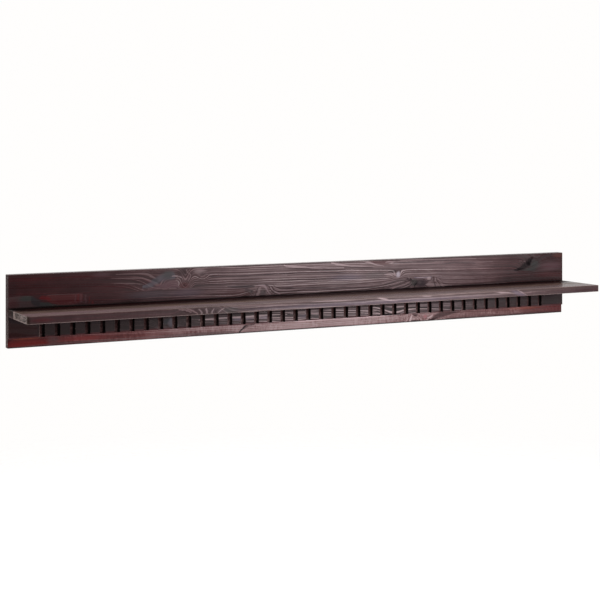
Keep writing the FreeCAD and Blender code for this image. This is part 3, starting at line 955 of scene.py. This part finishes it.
rail_marks = [
    # A reddish stain on the left end block, darkened by painted shade under the shelf's end
    Tint(-866, -102, 50, 36, rgb(33, 13, 13), 0.75, matte=0.1),
    Dull([(-812, -116, 16), (-700, -114, 16), (-560, -112, 16), (-480, -112, 10)],
        rgb(20, 13, 13), 0.5, soft=0.8),
    Tint(-456, -110, 8, 9, SLATE, 0.85, matte=0.1),
    Tint(-440, -112, 10, 14, BLUE_GREY, 0.6),
    Tint(-474, -103, 8, 6, INK, 0.7, matte=0.3),
    Streak([(-360, -112, 0.6), (-320, -111, 2), (-240, -110.5, 2), (-150, -110.5, 1.8), (-90, -112, 0.8)],
        PALE, 0.6),
    Tint(-230, -116, 30, 4, VIOLET, 0.5, soft=1.2),
    Tint(-160, -116, 20, 4, VIOLET, 0.5, soft=1.2),
    Streak([(-360, -121, 1.4), (-200, -121, 1.6), (-100, -120, 1)], UMBER, 0.45),
    Tint(-38, -119, 16, 5, VIOLET, 0.3, soft=1.4),
    Streak([(-30, -103, 0.8), (60, -107, 1.2), (220, -117, 0.8)], PALE, 0.5),
    Streak([(-30, -110, 0.8), (60, -114, 1.2), (220, -124, 0.8)], PALE, 0.5),
    Streak([(-80, -110, 0.8), (60, -121, 1.2), (200, -131, 0.8)], PALE, 0.5),
    Dull([(-30, -106.5, 0.8), (60, -110.5, 1.4), (220, -120.5, 1)], DUSK, 0.6),
    Dull([(-60, -110.5, 0.8), (60, -117.5, 1.4), (220, -128, 1)], DUSK, 0.6),
    Tint(852, -110, 46, 26, rgb(22, 17, 18), 0.65, soft=0.8, matte=0.25),
    # Painted shade: the shelf's shadow along the tops of the teeth, deepest at the left end
    Streak([(-892, -78, 9), (-850, -82, 13), (-800, -90, 12), (0, -92, 12), (900, -92, 13)],
        rgb(28, 19, 22), 0.8, soft=0.5, matte=0.3),
    # Painted shade: a dark red line along the rail's lower arris, above the recessed base strip
    Dull([(-900, -131.5, 2.6), (-300, -131, 2.4), (300, -131, 2.2), (900, -131, 2)],
        rgb(58, 24, 27), 0.75),
    Streak([(200, -131, 1), (222, -130, 3), (262, -129.5, 3.2), (290, -131.5, 1.4)], INK, 0.95, matte=0.3),
]
rail = Stave(
    "dentil_rail", PANEL_BOX, heart=(20, -190), lean=(0.2, 4.0), ring=5.0, seed=11.3,
    along=[
        (-890, 0.3, -0.1, 0.8),
        (-800, 0.4, -0.16, 0.4),
        (-560, 0.6, -0.13, 0.2),
        (-340, 1.1, -0.16, 0.1),
        (-80, 1.5, 0.14, 0),
        (60, 1.5, 0.12, 0),
        (260, 1.4, 0.08, 0),
        (430, 1.0, -0.01, 0),
        (600, 0.7, -0.18, 0.15),
        (700, 0.5, -0.25, 0.35),
        (890, 0.3, -0.26, 0.4),
    ],
    knots=[Knot(-460, -104, 26, 30, 4.0), Knot(258, -134, 60, 26, 3.0)],
    marks=rail_marks,
)
strip_marks = [
    Tint(-835, -148, 60, 10, rgb(92, 22, 20), 0.55, soft=1.2),
    Tint(-844, -133.5, 30, 3, RUST, 0.4, soft=1.4),
    Tint(-772, -143, 16, 10, GREY, 0.45, soft=1.2),
    Tint(-690, -142, 50, 6, rgb(108, 40, 40), 0.4, soft=1.4),
    Streak([(-900, -155, 1), (-700, -151, 2), (-400, -150, 2.4), (-250, -150, 2)], GREY, 0.5),
    Upright([(-238, -157, 2.8), (-230, -149, 2.6), (-222, -142, 3), (-214, -134, 4.5)],
        INK, 0.97, soft=0.8, matte=0.3),
    Dull([(-222, -145, 1), (-214, -139, 3.5), (-204, -135, 3.5), (-192, -133, 1)], UMBER, 0.6),
    Streak([(-420, -153, 0.4), (-200, -153.5, 0.8), (300, -154, 0.8), (860, -154, 0.6)], UMBER, 0.7),
    Streak([(-60, -133.5, 1), (30, -133.5, 3), (150, -133.5, 3), (250, -133.5, 1)],
        rgb(172, 150, 152), 0.5, soft=1.4),
    Upright([(324, -156, 2), (326, -146, 3.4), (330, -136, 1.6)], PALE, 0.8),
    Streak([(332, -133, 1), (342, -137, 3), (354, -136, 1)], UMBER, 0.85, matte=0.3),
    Streak([(326, -152, 0.8), (338, -153, 1.8), (356, -153, 0.8)], INK, 0.75, matte=0.3),
    Tint(378, -143, 7, 6, rgb(120, 70, 76), 0.5),
    Streak([(386, -148, 0.8), (396, -145, 2), (408, -140, 1)], PALE, 0.6),
    Streak([(388, -153, 0.8), (402, -152, 2), (420, -148, 1)], INK, 0.9, matte=0.3),
    Streak([(398, -152, 2), (416, -146, 6), (432, -141, 8), (452, -139, 6), (476, -136, 3), (500, -135, 0.6)],
        UMBER, 0.8, matte=0.25),
    Streak([(430, -154, 1), (520, -152.5, 3), (700, -152, 3.4), (890, -152, 3.4)], UMBER, 0.55, soft=1.4),
    Tint(735, -136, 56, 3.5, RUST, 0.35, soft=1.5),
    Tint(860, -146, 30, 12, MAROON, 0.3, soft=1.2),
    Streak([(-900, -157, 2.6), (-300, -157, 2.8), (900, -157, 3)], rgb(26, 16, 16), 0.95, matte=0.3),
]
strip = Stave(
    "base_strip", PANEL_BOX, heart=(10, -60), lean=(0.3, 0.6), ring=5.5, seed=5.9,
    along=[
        (-890, 0.6, -0.32, 0.6),
        (-760, 0.6, -0.11, 0.4),
        (-560, 0.6, 0, 0.4),
        (-420, 0.6, 0.13, 0.1),
        (-200, 0.7, 0.22, 0),
        (-60, 0.7, 0.27, 0),
        (260, 0.7, 0.24, 0),
        (430, 0.7, 0.1, 0),
        (520, 0.7, -0.02, 0),
        (640, 0.6, -0.02, 0),
        (790, 0.6, -0.16, 0.2),
        (890, 0.6, -0.24, 0.4),
    ],
    knots=[Knot(337, -144, 26, 12, 4.0), Knot(415, -150, 26, 12, 4.0)],
    marks=strip_marks,
)

# The shelf board, from the wall outwards
rear_stave = Stave(
    "shelf_rear_stave", SHELF_BOX, heart=(-30, -150), lean=(0.5, 0.2), ring=5.0, seed=2.4,
    along=[
        (-890, 0.7, 0, 0.2),
        (-300, 0.7, -0.02, 0.4),
        (100, 0.7, -0.14, 0.4),
        (600, 0.7, -0.12, 0.4),
        (890, 0.7, 0, 0.1),
    ],
    marks=[
        # Painted shade: the panel's shadow on the shelf's top right next to the panel, wider at the left end
        Tint(0, -55, 3000, 24, DARK_SEAM_AND_SHADE, 0.97, matte=0.4, reach_y=12),
        Tint(-886, -55, 46, 12, DARK_SEAM_AND_SHADE, 0.85, soft=0.8, matte=0.3, y=-40, reach_y=30),
    ],
    end_marks=[
        end_tint(-62, 5, DARK_SEAM_AND_SHADE, 0.6, soft=1.4, y=-66, reach_y=12),
        end_tint(-75.2, 3, ROSE, 0.7, soft=1.0, y=-50, reach_y=40),
    ],
)
middle_stave = Stave(
    "shelf_middle_stave", SHELF_BOX, heart=(-110, -120), lean=(0.8, 0.3), seed=9.2,
    along=[
        (-890, 0.8, -0.02, 0.1),
        (-300, 0.8, -0.1, 0),
        (100, 0.8, -0.2, 0),
        (500, 0.8, -0.22, 0),
        (890, 0.8, -0.12, 0),
    ],
    marks=[
        # Painted shade: the panel's shadow fading out across the back of the shelf's top
        Tint(0, -55, 3000, 24, UMBER, 0.6, soft=1.6, y=-75, reach_y=26),
        Tint(-250, -55, 240, 9, rgb(150, 130, 114), 0.26, soft=1.6, y=-140, reach_y=17),
        Tint(300, -55, 500, 9, rgb(92, 72, 64), 0.4, soft=1.6, y=-120, reach_y=20),
        Tint(80, -55, 360, 20, UMBER, 0.3, soft=1.6, y=-110, reach_y=22),
    ],
    end_marks=[
        end_tint(-62, 10, BARE, 0.75, y=-81, reach_y=8),
        end_tint(-60, 7, UMBER, 0.45, soft=1.3, y=-108, reach_y=16),
        end_tint(-75.4, 3.2, BARE, 0.8, soft=0.8, y=-105, reach_y=60),
    ],
)
front_marks = [
    edge_tint(-888, -66, 7, 14, rgb(30, 20, 15), 0.85),
    Tint(330, -55, 700, 9, rgb(66, 50, 46), 0.6, soft=1.6, y=-150, reach_y=70),
    edge_tint(-418, -66, 52, 12, UMBER, 0.4, soft=1.2, reach_y=9),
    Streak([(-494, -58, 1), (-474, -61, 2.4), (-454, -68, 1.4)], FAIR, 0.6),
    Streak([(-484, -63, 1), (-466, -67, 2), (-450, -73, 1)], UMBER, 0.75),
    Streak([(-468, -58, 1), (-452, -63, 2.4), (-438, -72, 1.4)], FAIR, 0.65),
    Upright([(-428, -73, 2), (-430, -65, 2.4), (-434, -59, 1)], PALE, 0.36),
    Upright([(-421, -74, 2), (-422, -65, 2.4), (-424, -60, 1)], UMBER, 0.9),
    Upright([(-413, -73, 2), (-412, -65, 2.4), (-412, -59, 1)], PALE, 0.42),
    Upright([(-405, -74, 2), (-403, -66, 2.4), (-400, -61, 1)], UMBER, 0.9),
    Upright([(-398, -73, 1.8), (-395, -67, 2.2), (-390, -61, 0.8)], PALE, 0.38),
    Upright([(-388, -74, 2), (-384, -67, 2.4), (-378, -62, 1)], UMBER, 0.85),
    Streak([(-380, -73, 0.8), (-370, -66, 1.8), (-358, -61, 0.8)], PALE, 0.34),
    edge_tint(-850, -66, 24, 5, MAROON, 0.5, soft=1.2),
    edge_tint(-340, -68, 20, 9, GREEN_GREY, 0.4),
    edge_tint(100, -69, 320, 5, VIOLET, 0.45, soft=1.2),
    edge_tint(122, -60, 18, 2.6, PALE, 0.75, turn=12),
    edge_tint(155, -66.5, 18, 1.6, PALE, 0.55, turn=6),
    edge_tint(268, -60, 16, 1.4, PALE, 0.7, turn=3),
    edge_tint(535, -61.5, 28, 1.4, PALE, 0.7, turn=4),
    edge_tint(588, -66, 26, 6, VIOLET, 0.55, turn=18, soft=1.2),
    edge_tint(600, -64, 22, 1.2, PALE, 0.4, turn=24),
    edge_tint(-240, -60, 110, 2, FAIR, 0.5, turn=1),
    edge_tint(870, -68, 80, 14, UMBER, 0.35, soft=1.4, reach_y=9),
    edge_tint(-40, -58.5, 60, 1.6, PALE, 0.7, turn=1),
    edge_tint(-60, -63.5, 90, 1.6, DUSK, 0.45, turn=1),
]
front_stave = Stave(
    "shelf_front_stave", SHELF_BOX, heart=(-160, -20), lean=(0.4, 0.8), seed=4.6,
    along=[
        (-890, 0.4, -0.14, 0.3),
        (-700, 0.4, -0.1, 0.2),
        (-500, 0.6, -0.1, 0.1),
        (-400, 0.7, -0.06, 0),
        (-300, 0.8, -0.03, 0),
        (-180, 0.8, 0.02, 0),
        (100, 0.9, 0.1, 0),
        (300, 0.9, 0.17, 0),
        (470, 0.8, 0.08, 0),
        (640, 0.6, -0.02, 0),
        (760, 0.4, -0.12, 0),
        (890, 0.4, -0.14, 0.2),
    ],
    knots=[Knot(-418, -66, 52, 60, 7.0, y=SHELF_EDGE, reach_y=34)],
    marks=front_marks,
    end_marks=[
        end_tint(-75.4, 3.2, BARE, 0.8, soft=0.8, y=-165, reach_y=60),
        end_tint(-62, 4, BARE, 0.45, soft=1.3, y=-155, reach_y=12),
        end_tint(-68, 4, UMBER, 0.4, soft=1.3, y=-172, reach_y=14),
    ],
)

panel_stain = Stain(wear=0.15, chip=rgb(86, 66, 62))
rail_stain = Stain(body=rgb(38, 26, 28), thin=rgb(101, 84, 87), deep=rgb(18, 9, 10), wear=0.2)
strip_stain = Stain(
    body=rgb(76, 42, 42),
    thin=rgb(125, 105, 106),
    deep=rgb(42, 18, 20),
    gloss=0.28,
    wear=0.2,
    mill=0.55,
)
rear_stain = Stain(
    body=rgb(44, 15, 12),
    thin=rgb(60, 32, 27),
    worn=SHELF_WORN,
    chip=rgb(60, 42, 38),
    end=rgb(36, 24, 22),
    gloss=0.5,
    wear=0.12,
)
middle_stain = Stain(
    body=rgb(66, 47, 39),
    thin=rgb(102, 82, 71),
    worn=SHELF_WORN,
    end=SHELF_END_GRAIN,
    gloss=0.4,
    top=0.16,
)
front_stain = Stain(
    body=rgb(60, 43, 45),
    thin=rgb(105, 88, 89),
    worn=SHELF_WORN,
    end=SHELF_END_GRAIN,
    mill=0.2,
    top=0.42,
)

place_camera()
add_softbox()
add_top_light()
add_world()
add_floor()
dress("back_upper_stave", pine(upper_stave, panel_stain))
dress("back_lower_stave", pine(lower_stave, panel_stain))
dress("dentil_rail", pine(rail, rail_stain, extra=slotted))
dress("base_strip", pine(strip, strip_stain))
dress("shelf_rear_stave", pine(rear_stave, rear_stain))
dress("shelf_middle_stave", pine(middle_stave, middle_stain))
dress("shelf_front_stave", pine(front_stave, front_stain))
dress("shelf_dowels", beech("dowel_beech"))
steel = zinc("zinc_plated_steel")
for node in ("shelf_screws", "left_hanger_plate", "right_hanger_plate", "hanger_screws"):
    dress(node, steel)

bpy.context.scene.view_settings.view_transform = "Standard"
